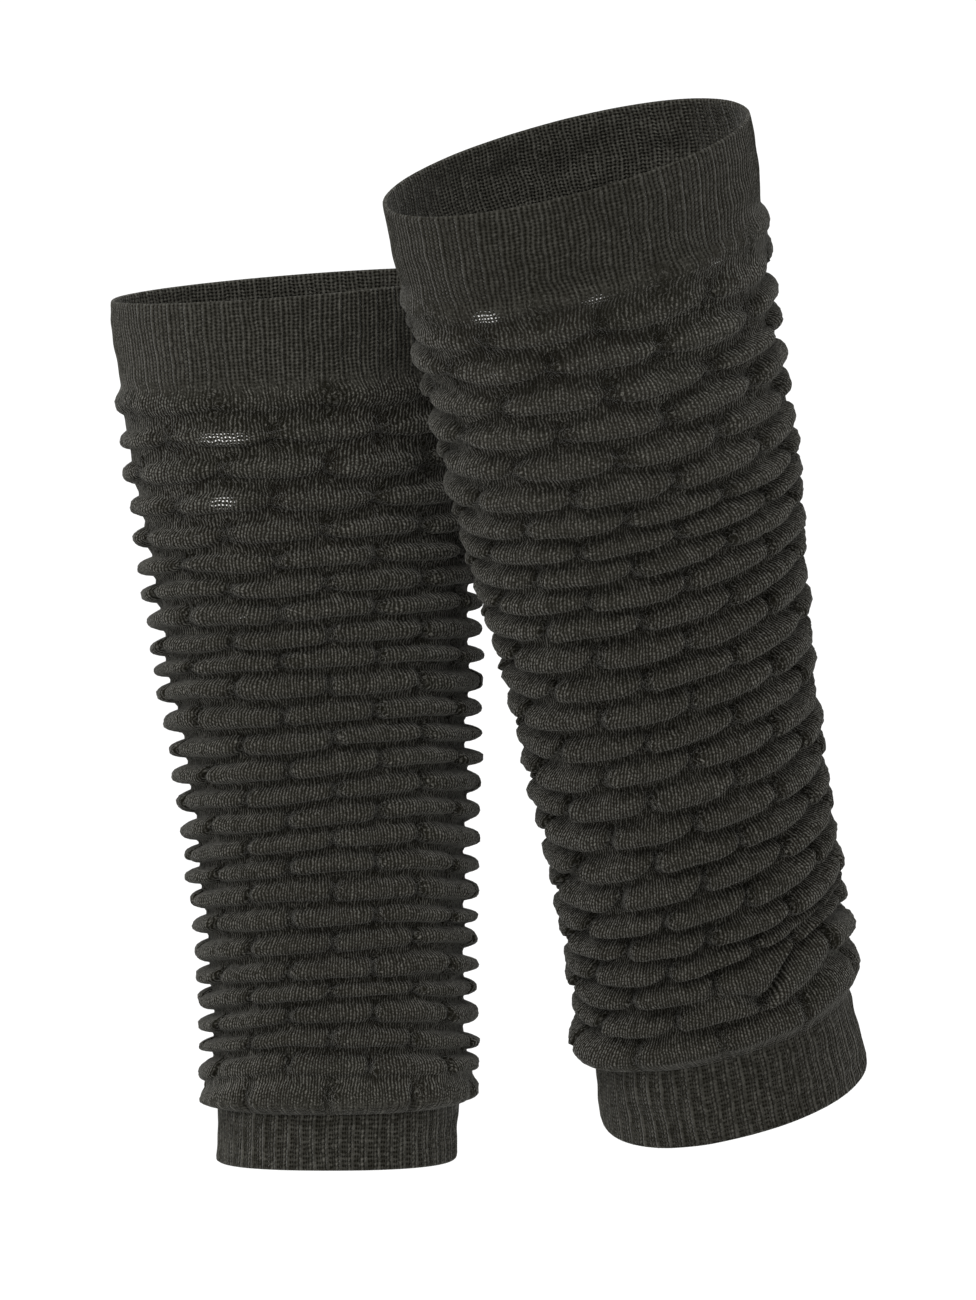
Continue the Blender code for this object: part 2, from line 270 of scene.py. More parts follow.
class Waves:
    """Smooth seeded unevenness over a tube, the same at both ends of a turn."""

    def __init__(self, seed, round_scale, along_scale, count=28):
        rng = np.random.default_rng(seed)
        self.m = np.round(rng.normal(0, round_scale, count))
        self.q = rng.normal(0, 1 / along_scale, count)
        self.phase = rng.uniform(0, math.tau, count)
        self.size = math.sqrt(2 / count)

    def __call__(self, turn, along):
        total = np.zeros(np.broadcast(turn, along).shape)
        for m, q, p in zip(self.m, self.q, self.phase):
            total += np.cos(math.tau * (m * turn + q * along) + p)
        return total * self.size


def oval_angle(share, square):
    """The angle at a share of the oval's outline, for arrays of one shape."""
    grid = np.linspace(0, math.tau, 721)
    out = np.empty(share.shape)
    flat_share, flat_square = share.reshape(share.shape[0], -1), square.reshape(square.shape[0], -1)
    result = out.reshape(share.shape[0], -1)
    squares = np.linspace(2.0, 2.4, 9)
    tables = []
    for sq in squares:
        c, s = np.cos(grid), np.sin(grid)
        x = np.sign(c) * np.abs(c) ** (2 / sq)
        y = DEPTH_SHARE * np.sign(s) * np.abs(s) ** (2 / sq)
        length = np.concatenate([[0], np.cumsum(np.hypot(np.diff(x), np.diff(y)))])
        tables.append(length / length[-1])
    for i in range(share.shape[0]):
        sq = float(flat_square[i].mean())
        k = int(np.clip((sq - 2.0) / 0.05, 0, 7))
        w = (sq - squares[k]) / 0.05
        table = (1 - w) * tables[k] + w * tables[k + 1]
        whole = np.floor(flat_share[i])
        result[i] = np.interp(flat_share[i] - whole, table, grid) + whole * math.tau
    return out


def leg_points(sections, turn, along, half_width, lift):
    """Points of the cloth's outer face. turn is the place round the leg (0 the oval's right end,
    0.75 its front), along the distance down the leg, lift how far out from the oval."""
    at = {n: column(sections, COLUMNS, n, along) for n in COLUMNS[1:]}
    up = np.stack(
        [-np.tan(np.radians(at["lean"])), -np.tan(np.radians(at["tip"])), np.ones_like(along)], -1
    )
    up = unit(up)
    side = unit(np.stack([1 - up[..., 0] ** 2, -up[..., 0] * up[..., 1], -up[..., 0] * up[..., 2]], -1))
    back = np.cross(up, side)
    a = np.radians(at["turn"])[..., None]
    wide = np.cos(a) * side + np.sin(a) * back
    deep = -np.sin(a) * side + np.cos(a) * back
    angle = oval_angle(turn, at["square"])
    power = 2 / at["square"]
    c, s = np.cos(angle), np.sin(angle)
    unit_x = np.sign(c) * np.abs(c) ** power
    unit_y = np.sign(s) * np.abs(s) ** power
    # the way out of the oval: the outline's normal, never the raw direction from its middle
    nx = np.sign(c) * np.abs(c) ** (2 - power)
    ny = np.sign(s) * np.abs(s) ** (2 - power) / DEPTH_SHARE
    size = np.hypot(nx, ny)
    out_x = half_width * unit_x + lift * nx / size
    out_y = half_width * DEPTH_SHARE * unit_y + lift * ny / size
    centre = np.stack([at["x"], at["y"], at["z"]], -1)
    return centre + out_x[..., None] * wide + out_y[..., None] * deep


# ---------------------------------------------------------------- meshes
class Grid:
    """Faces and their stitch coordinates, gathered from grids of points."""

    def __init__(self):
        self.points, self.attributes, self.faces, self.uvs, self.count = [], [], [], [], 0
        self.sharp = []

    def add_points(self, points, **values):
        rows, columns = points.shape[:2]
        index = self.count + np.arange(rows * columns).reshape(rows, columns)
        self.points.append(points.reshape(-1, 3))
        self.attributes.append({k: np.broadcast_to(v, (rows, columns)).reshape(-1) for k, v in values.items()})
        self.count += rows * columns
        return index

    def quads(self, index, u, v, flip=False):
        """Faces between the rows of one closed grid. u has a value for each column and one more."""
        columns = index.shape[1]
        j = np.arange(columns)
        k = (j + 1) % columns
        a, b = index[:-1][:, j], index[1:][:, j]
        c, d = index[1:][:, k], index[:-1][:, k]
        v = np.broadcast_to(v, index.shape)
        ua, ud = np.broadcast_to(u[:-1], a.shape), np.broadcast_to(u[1:], a.shape)
        corner = [
            (a, ua, v[:-1][:, j]), (b, ua, v[1:][:, j]), (c, ud, v[1:][:, k]), (d, ud, v[:-1][:, k])
        ]
        if flip:
            corner = corner[::-1]
        self.faces.append(np.stack([x[0] for x in corner], -1).reshape(-1, 4))
        self.uvs.append(np.stack([np.stack([x[1], x[2]], -1) for x in corner], -2).reshape(-1, 4, 2))

    def fans(self, outer, inner, u, v, flip=False):
        """Joins a fine ring to a coarse one with triangles."""
        share = len(outer) // len(inner)
        for a in range(len(inner)):
            b = (a + 1) % len(inner)
            half = share // 2
            spans = [(share * a + i, inner[a], u[share * a]) for i in range(half)] + [
                (share * a + i, inner[b], u[share * (a + 1)]) for i in range(half, share)
            ]
            for i, apex, apex_u in spans:
                k = (i + 1) % len(outer)
                face = [outer[i], apex, outer[k]]
                uv = [(u[i], v), (apex_u, v), (u[i + 1], v)]
                self.one(face, uv, flip)
            i = share * a + half
            self.one(
                [outer[i], inner[a], inner[b]],
                [(u[i], v), (u[share * a], v), (u[share * (a + 1)], v)],
                flip,
            )

    def one(self, face, uv, flip):
        if flip:
            face, uv = face[::-1], uv[::-1]
        self.faces.append(np.array([face + [-1]]))
        self.uvs.append(np.array([uv + [(0, 0)]], float))

    def build(self, name):
        points = np.concatenate(self.points) * MM
        faces, uvs = np.concatenate(self.faces), np.concatenate(self.uvs)
        real = faces >= 0
        sizes = real.sum(1)
        mesh = bpy.data.meshes.new(name)
        mesh.vertices.add(len(points))
        mesh.vertices.foreach_set("co", points.astype(np.float32).ravel())
        mesh.loops.add(int(sizes.sum()))
        mesh.loops.foreach_set("vertex_index", faces[real].astype(np.int32))
        mesh.polygons.add(len(faces))
        starts = np.concatenate([[0], np.cumsum(sizes)[:-1]])
        mesh.polygons.foreach_set("loop_start", starts.astype(np.int32))
        mesh.update(calc_edges=True)
        layer = mesh.uv_layers.new(name="stitches")
        layer.data.foreach_set("uv", uvs[real].astype(np.float32).ravel())
        for key in self.attributes[0]:
            values = np.concatenate([a[key] for a in self.attributes]).astype(np.float32)
            mesh.attributes.new(key, "FLOAT", "POINT").data.foreach_set("value", values)
        mesh.validate()
        mesh.shade_smooth()
        # the edges of a rim keep their corners, so the faces beside them shade as they lie
        ring = np.full(len(points), -1)
        for number, ids in enumerate(self.sharp):
            ring[np.asarray(ids)] = number
        ends = np.empty(len(mesh.edges) * 2, np.int32)
        mesh.edges.foreach_get("vertices", ends)
        a, b = ring[ends[::2]], ring[ends[1::2]]
        mesh.edges.foreach_set("use_edge_sharp", (a >= 0) & (a == b))
        obj = bpy.data.objects.new(name, mesh)
        bpy.context.scene.collection.objects.link(obj)
        return obj


def thin_places(table, turn, along, leg_size):
    """How much painted light shows between the stitches, 0 to 1."""
    total = np.zeros(turn.shape)
    place = turn - np.floor(turn)
    for row in table:
        spot = dict(zip(PAINTED_SEE_THROUGH_COLUMNS, row))
        across = (place - (0.5 + spot["round"] / 2)) * leg_size
        down = along - spot["along"]
        total += spot["strength"] * bell(across, spot["width"]) * bell(down, spot["height"])
    return np.clip(total, 0, 1)


def drift(leg, c, along):
    """Sideways wander of the wales, in wales."""
    return 0.34 * leg["wander"](c, along) + 0.20 * leg["fine_wander"](c, along)


def stretch(leg, c, along):
    """The knit is stretched wider over the front near each open end, as a part of a turn."""
    top, low = leg["stretch"]
    start = CUFF_SIZES[leg["name"] + "_top_cuff"][-1][0]
    length = leg["sections"][-1][0]
    share = top * (1 - step((along - start) / 30)) + low * step((along - length + 45) / 30)
    front = 0.75 - float(column(leg["sections"], COLUMNS, "puff_turn", np.array(start)))
    return share * np.sin(math.tau * (c - front)) / math.tau


def rib_height(phase):
    """The rib relief across the wales, the strong rib apart."""
    rib = (0.5 + 0.5 * np.cos(math.tau * phase)) ** 0.8
    strong = bell(((phase + REPEAT / 2) % REPEAT) - REPEAT / 2, 0.45)
    return RIB_RISE * rib + STRONG_RIB_RISE * strong


def rib_share(leg, s):
    """How much of a top cuff's ribs is left at a distance down the leg."""
    begins, length = leg["rib_fade"]
    return 1 - step((s - begins) / length)


def cuff(leg, name, at_top):
    """A rib cuff: raised ribs, one in four stronger, with a plain rolled edge at its open end."""
    sections = leg["sections"]
    table = CUFF_SIZES[name]
    start, end = table[0][0], table[-1][0]
    rows = int(round((end - start) / CUFF_COURSE))
    share = np.linspace(0, 1, rows + 1)
    along = start + (end - start) * share
    wale = np.arange(CUFF_COLUMNS) * WALES / CUFF_COLUMNS
    c, s = np.meshgrid(wale / WALES, along)
    turn = column(sections, COLUMNS, "puff_turn", s) + c
    open_end, seam_end = (s - start, end - s) if at_top else (end - s, s - start)
    settle = step(seam_end / 7.0)
    half = smooth([r[0] for r in table], [r[1] for r in table], s)
    phase = c * WALES
    edge = np.clip(open_end / 0.9, 0, 1) ** 0.5
    relief = rib_height(phase) * (0.35 + 0.65 * edge) * settle
    wave = 0.26 * leg["cloth"](c, s) * np.clip(open_end / 8, 0.25, 1) * step(seam_end / 8)
    ease = -(RIB_RISE + 0.5 * STRONG_RIB_RISE) * 0.5 * settle
    lift = relief + wave + ease
    bend = 0.6 * drift(leg, c, s) * step(seam_end / 5) / WALES + stretch(leg, c, s)
    bend = bend + first_bow(c, s) / WALES
    course = CUFF_COURSE if at_top else LOW_COURSE
    low = 0.0 if at_top else 1.0
    grid = Grid()
    u = np.arange(CUFF_COLUMNS + 1) * WALES / CUFF_COLUMNS
    thin = thin_places(leg["thin"], turn, s, leg["size"])
    outer = leg_points(sections, turn + bend, s, half, lift)
    # the inner face: ribs show on it too, half a wale on from the outer ones
    inner_lift = wave + ease - CUFF_THICK - rib_height(phase + 0.5) * (0.35 + 0.65 * edge) * settle
    if at_top:
        inner = leg_points(sections, turn + bend, s, half, inner_lift)
        inner_u = u
    else:
        inner_lift = wave - CUFF_THICK - 0.3 * settle
        inner = leg_points(sections, turn + bend, s, half, inner_lift)[:, ::4]
        inner_u = u[::4]
    inner_s = s if at_top else s[:, ::4]
    same = {"knot": 0, "low": low, "early": 1, "soft": leg["soft"] if at_top else 0}
    pale, pale_in = paleness(leg, turn, s), inner_paleness(turn)
    rib = rib_share(leg, s) if at_top else 1
    fold = 1 - (1 - SEAM_FOLD) * step((s - 25) / 6.5) if at_top else 1
    i_out = grid.add_points(outer, thin=thin, side=0, pale=pale, rib=rib, fold=fold, **same)
    same.update(rib=1, fold=1)
    i_in = grid.add_points(inner, thin=0, side=1, pale=pale_in if at_top else pale_in[:, ::4], **same)
    grid.quads(i_out, u, s / course)
    grid.quads(i_in, inner_u, inner_s / course, flip=True)
    # the open edge, rounded over
    first, last = (0, -1) if at_top else (-1, 0)
    away = -0.5 if at_top else 0.5
    ring_s = np.full((1, CUFF_COLUMNS), along[first]) + away
    middle = leg_points(
        sections_beyond(sections, 2 * away), (turn + bend)[first][None], ring_s, half[first][None],
        (lift[first] + inner_lift[first])[None] / 2,
    )
    i_mid = grid.add_points(middle, thin=0, side=0, pale=pale[first][None], **same)
    v_edge = np.full((2, CUFF_COLUMNS), along[first] / course)
    grid.quads(np.stack([i_mid[0], i_out[first]]), u, v_edge, flip=not at_top)
    if at_top:
        grid.quads(np.stack([i_mid[0], i_in[first]]), u, v_edge, flip=True)
        grid.quads(np.stack([i_out[last], i_in[last]]), u, v_edge)
    else:
        grid.fans(list(i_mid[0]), list(i_in[first]), u, along[first] / course)
        grid.fans(list(i_out[last]), list(i_in[last]), u, along[last] / course, flip=True)
    grid.sharp += [i_out[last], i_in[last]]
    return grid.build(name.replace("_", "-") + "-knit")


def sections_beyond(sections, away):
    """The same sections, carried a little past the open end."""
    rows = [list(r) for r in sections]
    if away < 0:
        a, b = rows[0], rows[1]
        share = away / (b[0] - a[0])
        rows.insert(0, [p + share * (q - p) for p, q in zip(a, b)])
    else:
        a, b = rows[-2], rows[-1]
        share = away / (b[0] - a[0])
        rows.append([q + share * (q - p) for p, q in zip(a, b)])
    return rows


# ---------------------------------------------------------------- the rows of puffs
def puff_place(c, number):
    """Which puff, and the place along it from 0 at its left end to 1 at its right."""
    offset = 0.5 if number % 2 == 0 else 0.0
    place = c * PUFFS - offset
    return np.floor(place).astype(int) % PUFFS, place - np.floor(place)


def each(values, puff, phase):
    """A value for each puff, joined smoothly through the notch to the next puff's."""
    width = 0.05
    here, before, after = values[puff], values[(puff - 1) % PUFFS], values[(puff + 1) % PUFFS]
    start, finish = np.clip(phase / width, 0, 1), np.clip((1 - phase) / width, 0, 1)
    return here * 0.5 * (start + finish) + before * 0.5 * (1 - start) + after * 0.5 * (1 - finish)


def valley_line(leg, c, number):
    """How much lower than its middle place a fold's lower valley lies, all round."""
    folds = leg["folds"]
    fold = dict(zip(FOLD_COLUMNS, folds[number]))
    other = dict(zip(FOLD_COLUMNS, folds[(number + 9) % len(folds)]))
    turn = c + float(column(leg["sections"], COLUMNS, "puff_turn", np.array(fold["end"])))
    turn = (turn - 0.5) % 1.0 + 0.5
    side = dict(zip(SIDE_COLUMNS, leg["sides"][number]))
    names = ("left", "mid_left", None, "mid_right", "right")
    knots = [(p, fold[n] if n else 0.0) for p, n in zip(FRONT_PLACES, names)]
    knots += [(1.0, side["edge_right"]), (0.5, side["edge_left"]), (1.5, side["edge_left"])]
    # the back's rows run from one side to the other by way of the back's middle
    for at, edge, name in ((1.12, "edge_right", "mid_right"), (1.38, "edge_left", "mid_left")):
        wander = float(np.clip(BACK_SHARE * other[name], -1.5, 1.5))
        knots.append((at, 0.35 * side[edge] + 0.65 * side["back"] + wander))
    for row in leg["swirl"]:
        extra = dict(zip(SWIRL_COLUMNS, row))
        if extra["fold"] == number:
            knots.append((extra["place"], extra["lower"]))
    knots = sorted(knots + [(1.25, side["back"])])
    xs, ys = [k[0] for k in knots], [k[1] for k in knots]
    return smooth(xs, ys, turn) + 0.30 * leg["puffs"]["wave"](c, fold["end"])


def notch_pull(c, s, lowers, uppers):
    """The stitches on both sides of a notch are drawn in towards it, in wales."""
    total = np.zeros(s.shape)
    for k in range(len(lowers)):
        phase = puff_place(c, k)[1]
        d = phase - np.round(phase)
        down = s - 0.5 * (uppers[k] + lowers[k])
        if k:
            total -= NOTCH_PULL * d * bell(d, 0.17) * bell(down, 4.5) * (WALES / PUFFS)
    return total


def first_bow(c, s):
    """The ribs bow round the knots of the first row, on each knot's right, in wales."""
    phase = puff_place(c, 0)[1]
    bow = phase / 0.20 * np.exp(1 - phase / 0.20) * (1 - step((phase - 0.6) / 0.4))
    return FIRST_BOW * bow * bell(s - 37.5, 6.5)


def paleness(leg, turn, s):
    """Painted light and shade, 1 as usual: painted light makes the left leg paler towards its
    right side, where the right leg shades it, and in its top cuff, and painted shade makes the
    right leg's two cuffs a little darker."""
    if leg["name"] == "left":
        d = (turn - 0.92 + 0.5) % 1.0 - 0.5
        amount = smooth((0, 28, 38, 95, 150, 230, 330), (0.19, 0.21, 0.34, 0.30, 0.18, 0.08, 0.05), s)
        cuffs = 0.07 * (1 - step((s - 26) / 8)) - 0.02 * step((s - 302) / 6)
        return 1 + amount * bell(d, 0.15) + cuffs
    return 0.84 + 0.16 * step((s - 30) / 40) - 0.10 * step((s - 338) / 8)


def inner_paleness(turn):
    """Inside, painted light makes the colour a little paler towards the left, and painted shade
    makes it a little darker towards the right.
    """
    return 1.05 + 0.15 * np.sin(math.tau * (turn - 0.20))


def front_right(turn):
    """1 over the front's right quarter and fading to 0 round the rest."""
    d = (turn - 0.90 + 0.5) % 1.0 - 0.5
    return step(1.35 - np.abs(d) / 0.085)


def body(leg, name):
    """The body: folds in short puffs, with a fine outer face and a plainer inner one."""
    sections, folds, rng = leg["sections"], leg["folds"], leg["puffs"]
    start = CUFF_SIZES[leg["name"] + "_top_cuff"][-1]
    end = CUFF_SIZES[leg["name"] + "_bottom_cuff"][0]
    top_at, low_at = start[0] + SEAM_GAP, end[0] - SEAM_GAP
    count = len(folds)
    c = np.arange(BODY_COLUMNS) / BODY_COLUMNS
    crest = lambda s: column(sections, COLUMNS, "half_width", s)

    # the valleys between the folds
    valleys = [np.full(BODY_COLUMNS, top_at)]
    for k in range(count - 1):
        valleys.append(folds[k][0] + valley_line(leg, c, k))
    valleys.append(np.full(BODY_COLUMNS, low_at))

    # each fold's upper and lower edge
    uppers, lowers, heights, rises, knots = [], [], [], [], []
    for k in range(count):
        fold = dict(zip(FOLD_COLUMNS, folds[k]))
        puff, phase = puff_place(c, k)
        near = np.minimum(phase, 1 - phase)
        middle = 0.5 * (valleys[k] + valleys[k + 1])
        pitch = valleys[k + 1] - valleys[k]
        turn = c + column(sections, COLUMNS, "puff_turn", middle)
        right = front_right(turn)
        ends = np.clip(near / 0.05, 0, 1)
        lean = fold["tilt"] * (0.45 + 0.65 * right) * (1 + 0.35 * rng["tilt"][k][puff])
        line = lean * (0.5 - phase) * ends + each(rng["shift"][k], puff, phase)
        begins = leg["lift_from"]
        lifted = fold["lift"] * np.clip(1 + 0.35 * rng["lift"][k][puff], 0.3, 1.6)
        lifted = lifted * np.clip((phase - begins) / (1 - begins), 0, 1) ** 1.5
        dropped = 0.3 * fold["lift"] * step((0.10 - phase) / 0.10)
        # a puff's right end is blunt and its left end rises slowly, both longer in the upper rows
        late = min(1.0, k / 8)
        blunt = END_RIGHT[0] * (1 - late) + END_RIGHT[1] * late
        slow = (END_LEFT[0] * (1 - late) + END_LEFT[1] * late) * (1 + 0.25 * rng["slow"][k][puff])
        falls = np.maximum(bell(1 - phase, blunt), 1 - step(phase / slow))
        strength = (min(1.0, 0.78 + 0.04 * k) if k else 0.5) * (leg["last_notch"] if k == count - 1 else 1.0)
        pinch = PINCH * (1.9 - 0.9 * late) * strength * falls
        gather = leg["gather"].get(k, 1.0)
        wide = WIDE_GAP * (1 - late)
        upper = valleys[k] + pitch * (GAP_ABOVE + wide + 0.5 * dropped + gather * pinch) + line
        lower = valleys[k + 1] - pitch * (GAP_BELOW + wide + lifted + 0.8 * pinch) + line
        if k == 0:
            upper = valleys[0] + 0.4
        if k == count - 1:
            lower = valleys[k + 1] - 0.4
        size = each(rng["rise"][k], puff, phase)
        crown = 0.94 + 0.06 * np.sin(math.pi * phase)
        height = size * crown * (1 - NOTCH_DEPTH * strength * falls)
        height = height * (1 - 0.30 * lifted - 0.2 * dropped)
        height = height * (1 - (1 - fold["right_share"]) * right)
        if k == count - 1:
            # the last fold hangs out further over the cuff on one side
            d = (turn - leg["overhang"][0] + 0.5) % 1.0 - 0.5
            height = height * (1 + leg["overhang"][1] * bell(d, 0.07))
        uppers.append(upper), lowers.append(lower), heights.append(height)
        rises.append(fold["rise"])
        # a knot where a puff ends and the next begins: tangled stitches, and painted shade in the notch
        tangle_and_notch_shade = np.maximum(bell(1 - phase, 0.045), 1 - step((phase - 0.03) / np.minimum(slow * 1.1, 0.19)))
        knots.append(tangle_and_notch_shade if k else 0.55 * tangle_and_notch_shade)
    for k in range(count - 1):
        short = np.clip(LEAST_GAP - (uppers[k + 1] - lowers[k]), 0, None)
        uppers[k + 1] = uppers[k + 1] + short / 2
        lowers[k] = lowers[k] - short / 2
    for k in range(count):
        short = np.clip(2.0 - (lowers[k] - uppers[k]), 0, None)
        lowers[k] = lowers[k] + short / 2
        uppers[k] = uppers[k] - short / 2

    # depth of the floor between two folds: a narrow one is a little shallower
    floors = []
    for k in range(count - 1):
        gap = uppers[k + 1] - lowers[k]
        depth = 0.5 * (rises[k] + rises[k + 1]) * leg["deep"] * leg["shallow"].get(k, 1.0)
        turn = c + column(sections, COLUMNS, "puff_turn", valleys[k + 1])
        for row in leg["merge"]:
            merge = dict(zip(MERGE_COLUMNS, row))
            if merge["fold"] == k:
                d = (turn - merge["place"] + 0.5) % 1.0 - 0.5
                depth = depth * (1 - (1 - merge["depth"]) * bell(d, merge["width"]))
        floors.append(depth * (0.72 + 0.28 * np.clip(gap / 2.4, 0, 1.2)))

    # the ends take the cuffs' own outline, and the folds next to them grow out of it
    # the knot column also carries painted shade: darker colour in the notches and valley floors
    rows = []       # place, lift from the crest's oval, fold, knot

    def add(place, lift, fold, knot):
        rows.append([np.broadcast_to(np.asarray(v, float), (BODY_COLUMNS,)) for v in (place, lift, fold, knot)])

    inner = []
    start_lift = -(crest(np.array(top_at)) - start[1])
    end_lift = -(crest(np.array(low_at)) - end[1])
    add(top_at, start_lift, SEAM_FOLD, 0)
    inner.append((np.full(BODY_COLUMNS, top_at), np.full(BODY_COLUMNS, start_lift)))
    for k in range(count):
        above = floors[k - 1] if k else None
        below = floors[k] if k < count - 1 else None
        span = lowers[k] - uppers[k]
        top = -above if k else np.full(BODY_COLUMNS, start_lift)
        low = -below if k < count - 1 else np.full(BODY_COLUMNS, end_lift)
        peak = -(1 - heights[k]) * rises[k]
        crest_at = FOLD_PROFILE[CREST][0]
        sag = SAG * np.clip(heights[k], 0, 1)
        for j, (t, out) in enumerate(FOLD_PROFILE):
            base = top if t < crest_at else low
            if k == 0 and t < crest_at:
                out = step(t / crest_at)
            place = uppers[k] + t * span + sag * out * (1 if k else 0.3)
            knot = knots[k]
            if k == count - 1:
                # it hangs low, and rolls under close above the cuff
                t = t ** leg["hang"]
                sag = leg["roll"] * np.clip(heights[k], 0, 1)
                flow = leg["flow"](c + float(column(sections, COLUMNS, "puff_turn", np.array(low_at))))
                place = uppers[k] + t * span + sag * out
                if j > CREST:
                    crest_low = crest_at ** leg["hang"]
                    gentle = 1 - step((t - crest_low) / (1 - crest_low))
                    out = (1 - flow) * out + flow * gentle
                    place = uppers[k] + t * span + sag * out * (1 - flow)
                # the last fold's lower edge is gathered into the cuff at the end of each puff
                puff, phase = puff_place(c, k)
                pull = bell(np.minimum(phase, 1 - phase), 0.05) * step((t - 0.45) / 0.4)
                out = out * (1 - 0.30 * pull * (1 - step((t - 0.9) / 0.1)))
                # painted shade: the gathered lower edge is marked as a knot, so its colour is darker
                knot = np.maximum(knot, pull)
            folded = np.clip(out * heights[k], 0, 1)
            if k == 0:
                before = SEAM_FOLD if t < crest_at else 0.0
                folded = before + (FIRST_FOLD - before) * folded
            add(place, base + (peak - base) * out, folded, knot)
        inner.append((uppers[k], top))
        inner.append((uppers[k] + crest_at * span, peak - 0.4 * rises[k]))
        if below is not None:
            # painted shade: the valley floor under a notch is marked as a knot, so its colour is darker
            floor_knot_and_shade = 0.8 * np.maximum(knots[k], knots[k + 1])
            add(0.5 * (lowers[k] + uppers[k + 1]), -below * 1.04, 0.0, floor_knot_and_shade)
    add(low_at, end_lift, 0.8, 0)
    inner.append((np.full(BODY_COLUMNS, low_at), np.full(BODY_COLUMNS, end_lift)))

    s, lift, fold, knot = (np.array([r[i] for r in rows]) for i in range(4))
    # rows never cross, however the folds press together
    s = np.maximum.accumulate(s + 1e-3 * np.arange(len(s))[:, None], axis=0)
    s = np.minimum(s, low_at - 0.02 * (len(s) - 1 - np.arange(len(s)))[:, None] * (s > low_at - 2))
    cc = np.broadcast_to(c, s.shape)
    near_end = step((s - top_at) / 7) * step((low_at - s) / 6)
    lift = lift + near_end * (0.28 * leg["cloth"](cc, s) + 0.20 * leg["fine"](cc, s) * (0.3 + 0.7 * fold))
    lift = lift + near_end * 0.34 * knot * leg["lumps"](cc, s)
    turn = column(sections, COLUMNS, "puff_turn", s) + cc
    bend = (drift(leg, cc, s) * near_end + notch_pull(cc, s, lowers, uppers)) / WALES
    bend = bend + stretch(leg, cc, s) + first_bow(cc, s) / WALES
    # close to a cuff the cloth takes the cuff's own oval instead of the crest's
    hug = (1 - step((s - top_at) / 6)) * -start_lift + (1 - step((low_at - s) / 5)) * -end_lift
    outer = leg_points(sections, turn + bend, s, crest(s) - hug, lift + hug)
    # stitches follow the cloth, so their rows are counted along the folds and not straight down
    run = np.linalg.norm(np.diff(outer, axis=0), axis=-1).mean(1)
    v = np.concatenate([[0], np.cumsum(run)]) / BODY_COURSE
    v = v[:, None] + (s - s.mean(1, keepdims=True)) / BODY_COURSE
    v = v + top_at / CUFF_COURSE
    thin = thin_places(leg["thin"], turn, s, leg["size"]) * np.clip(fold * 1.6, 0, 1)
    rib = np.maximum(rib_share(leg, s), 1 - step((low_at - s - 2) / LOW_RIB_FADE))
    low, early = step((s - 200) / 50), 1 - step((s - 50) / 75)
    rib = rib * (1 - 0.9 * knot * (1 - step((s - 60) / 30)))
    grid = Grid()
    u = np.arange(BODY_COLUMNS + 1) * WALES / BODY_COLUMNS
    i_out = grid.add_points(
        outer, fold=fold, thin=thin, side=0, rib=rib, knot=knot, low=low, early=early,
        pale=paleness(leg, turn, s), soft=leg["soft"] * (1 - step((s - 110) / 60)),
    )
    grid.quads(i_out, u, v)
    si = np.array([p[0] for p in inner])[:, ::INNER_SHARE]
    li = np.array([p[1] for p in inner])[:, ::INNER_SHARE]
    ci = np.broadcast_to(c[::INNER_SHARE], si.shape)
    near = step((si - top_at) / 7) * step((low_at - si) / 6)
    li = li - BODY_THICK + near * 0.28 * leg["cloth"](ci, si)
    turn_in = column(sections, COLUMNS, "puff_turn", si) + ci + drift(leg, ci, si) * near / WALES
    turn_in = turn_in + stretch(leg, ci, si) + first_bow(ci, si) / WALES
    hug_in = (1 - step((si - top_at) / 6)) * -start_lift + (1 - step((low_at - si) / 5)) * -end_lift
    points = leg_points(sections, turn_in, si, crest(si) - hug_in, li + hug_in)
    rib_in = np.maximum(1 - step((si - top_at - 3) / 15), 1 - step((low_at - si - 2) / LOW_RIB_FADE))
    low_in = step((si - 200) / 50)
    i_in = grid.add_points(
        points, fold=0.5, thin=0, side=1, rib=rib_in, knot=0, low=low_in, early=0,
        pale=inner_paleness(turn_in), soft=0,
    )
    grid.quads(i_in, u[::INNER_SHARE], si / BODY_COURSE, flip=True)
    grid.fans(list(i_out[0]), list(i_in[0]), u, 0.0, flip=True)
    grid.fans(list(i_out[-1]), list(i_in[-1]), u, float(v[-1].mean()))
    grid.sharp += [i_out[0], i_in[0], i_out[-1], i_in[-1]]
    return grid.build(name.replace("_", "-") + "-knit")


# ---------------------------------------------------------------- materials
class Value:
    """A node's output, so that a pattern reads as a formula."""

    def __init__(self, tree, socket):
        self.tree, self.socket = tree, socket

    def math(self, operation, *others, clamp=False):
        node = self.tree.nodes.new("ShaderNodeMath")
        node.operation, node.use_clamp = operation, clamp
        for place, value in enumerate((self, *others)):
            if isinstance(value, Value):
                self.tree.links.new(value.socket, node.inputs[place])
            else:
                node.inputs[place].default_value = value
        return Value(self.tree, node.outputs[0])

    def __add__(self, other):
        return self.math("ADD", other)

    def __sub__(self, other):
        return self.math("SUBTRACT", other)

    def __mul__(self, other):
        return self.math("MULTIPLY", other)

    def __truediv__(self, other):
        return self.math("DIVIDE", other)

    def __pow__(self, other):
        return self.math("POWER", other)

    __radd__, __rmul__ = __add__, __mul__

    def __rsub__(self, other):
        return (self * -1.0) + other

    def fract(self):
        return self.math("FRACT")

    def floor(self):
        return self.math("FLOOR")

    def abs(self):
        return self.math("ABSOLUTE")

    def cos(self):
        return self.math("COSINE")

    def clamp(self):
        return self.math("ADD", 0.0, clamp=True)

    def bell(self, width):
        """1 at zero and falling away to nothing beyond about twice the width."""
        squared = (self / width) * (self / width)
        return (squared * -1.0).math("EXPONENT")


def blend(share, a, b):
    return a + (b - a) * share


